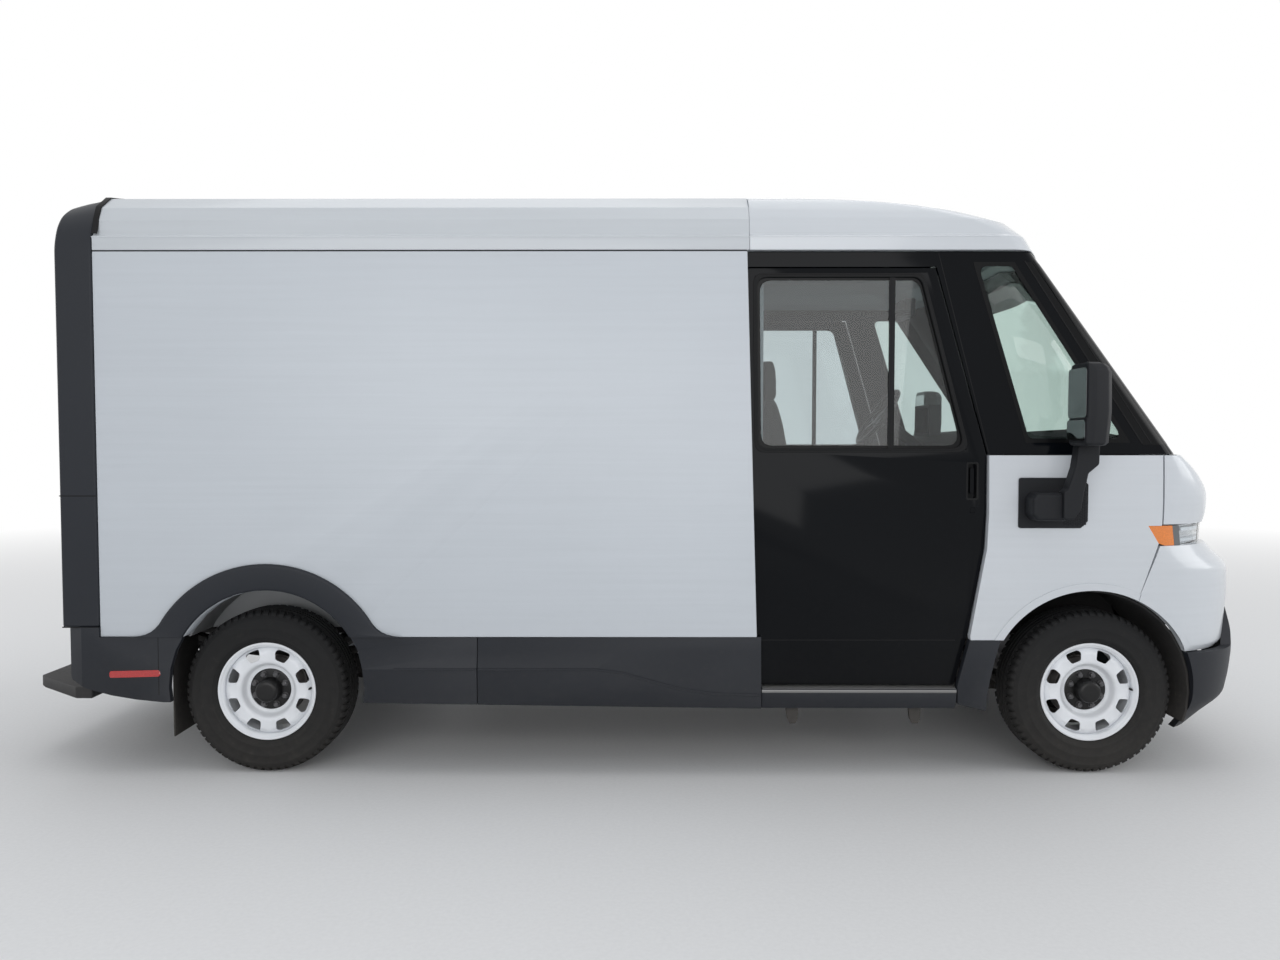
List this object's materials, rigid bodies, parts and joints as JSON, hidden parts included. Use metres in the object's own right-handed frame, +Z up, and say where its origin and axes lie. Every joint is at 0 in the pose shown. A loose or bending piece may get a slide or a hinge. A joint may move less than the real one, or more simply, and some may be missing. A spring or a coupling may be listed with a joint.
{
  "type": "electric delivery van",
  "caption": "Walk-in electric delivery van with a boxy white load body, black sliding cab doors, a raked wrap-round windscreen and a roll-up rear door.",
  "frame": {"origin": "on the ground, midway between the foremost and rearmost points and on the centre line", "axes": "+X to the front of the van, +Y to its left side, +Z up"},
  "size_m": [6.065, 2.584, 2.804],
  "materials": {
    "white_panel": "satin",
    "white_roof": "satin",
    "white_body": "gloss",
    "black_plastic": "textured",
    "black_gloss": "gloss",
    "mirror_plastic": "matt",
    "cab_glass": "clear",
    "door_glass": "clear",
    "lamp_lens": "clear",
    "tail_lens": "gloss",
    "tyre": "matt",
    "rim_white": "satin",
    "hub_black": "gloss",
    "dark_steel": "satin",
    "cast": "rough",
    "drive_casing": "cast",
    "battery": "satin",
    "floor_metal": "satin",
    "liner": "matt",
    "firewall": "satin",
    "curtain": "satin",
    "bulkhead": "satin",
    "dash_plastic": "matt",
    "wheel_grip": "satin",
    "seat_fabric": "woven",
    "flap_rubber": "matt"
  },
  "bodies": {
    "body": {"side_panels": "white_panel", "cargo_roof": "white_roof", "cab_roof": "white_roof", "fenders": "white_body", "front_bumper": "white_body", "rear_hoop": "black_plastic", "rear_bumper": "black_plastic", "side_skirts": "black_plastic", "arch_mouldings": "black_plastic", "lower_bumper": "black_plastic", "entry_steps": "black_plastic", "rear_step": "black_plastic", "cab_frame": "black_gloss", "nose_band": "black_gloss", "mirrors": "mirror_plastic", "cab_glass": "cab_glass", "headlamps": "lamp_lens", "tail_lamps": "tail_lens", "chassis_frame": "dark_steel", "front_suspension": "dark_steel", "rear_axle": "dark_steel", "front_drive_unit": "drive_casing", "battery_pack": "battery", "floor": "floor_metal", "step_wells": "floor_metal", "front_wheelhouses": "liner", "firewall": "firewall", "roll_up_door": "curtain", "bulkhead": "bulkhead", "dashboard": "dash_plastic", "driver_seat": "seat_fabric", "mud_flaps": "flap_rubber"},
    "knuckle_left": {"knuckle_left": "cast"},
    "knuckle_right": {"knuckle_right": "cast"},
    "door_left": {"door_left": "black_gloss", "door_glass_left": "door_glass"},
    "door_right": {"door_right": "black_gloss", "door_glass_right": "door_glass"},
    "bulkhead_door": {"bulkhead_door": "bulkhead"},
    "hood": {"hood": "white_body"},
    "steering_wheel": {"steering_wheel": "wheel_grip"},
    "wheel_fl": {"tyre_fl": "tyre", "rim_fl": "rim_white", "hub_fl": "hub_black"},
    "wheel_fr": {"tyre_fr": "tyre", "rim_fr": "rim_white", "hub_fr": "hub_black"},
    "wheel_rl": {"tyre_rl": "tyre", "rim_rl": "rim_white", "hub_rl": "hub_black"},
    "wheel_rr": {"tyre_rr": "tyre", "rim_rr": "rim_white", "hub_rr": "hub_black"}
  },
  "joints": [
    {"name": "steer_left", "type": "hinge", "parent": "body", "child": "knuckle_left", "pos_m": [2.117, 0.8, 0.386], "axis": [0, 0, 1], "range_deg": [-35, 35]},
    {"name": "spin_fl", "type": "hinge", "parent": "knuckle_left", "child": "wheel_fl", "pos_m": [2.117, 0.873, 0.386], "axis": [0, 1, 0], "continuous": true},
    {"name": "steer_right", "type": "hinge", "parent": "body", "child": "knuckle_right", "pos_m": [2.117, -0.8, 0.386], "axis": [0, 0, 1], "range_deg": [-35, 35]},
    {"name": "spin_fr", "type": "hinge", "parent": "knuckle_right", "child": "wheel_fr", "pos_m": [2.117, -0.873, 0.386], "axis": [0, 1, 0], "continuous": true},
    {"name": "spin_rl", "type": "hinge", "parent": "body", "child": "wheel_rl", "pos_m": [-1.772, 0.873, 0.386], "axis": [0, 1, 0], "continuous": true},
    {"name": "spin_rr", "type": "hinge", "parent": "body", "child": "wheel_rr", "pos_m": [-1.772, -0.873, 0.386], "axis": [0, 1, 0], "continuous": true},
    {"name": "door_left_slide", "type": "slide", "parent": "body", "child": "door_left", "axis": [-1, 0, 0], "range_m": [0, 0.9]},
    {"name": "door_right_slide", "type": "slide", "parent": "body", "child": "door_right", "axis": [-1, 0, 0], "range_m": [0, 0.9]},
    {"name": "bulkhead_door_slide", "type": "slide", "parent": "body", "child": "bulkhead_door", "axis": [0, 1, 0], "range_m": [0, 0.64]},
    {"name": "hood_lift", "type": "hinge", "parent": "body", "child": "hood", "pos_m": [2.35, 0, 1.496], "axis": [0, -1, 0], "range_deg": [0, 55]},
    {"name": "steering_wheel_turn", "type": "hinge", "parent": "body", "child": "steering_wheel", "pos_m": [1.45, 0.43, 1.719], "axis": [-0.809, 0, 0.5878], "range_deg": [-525, 525]}
  ],
  "couplings": [
    {"joint": "steer_left", "follows": "steer_right", "ratio": 1},
    {"joint": "steering_wheel_turn", "follows": "steer_right", "ratio": 15}
  ]
}
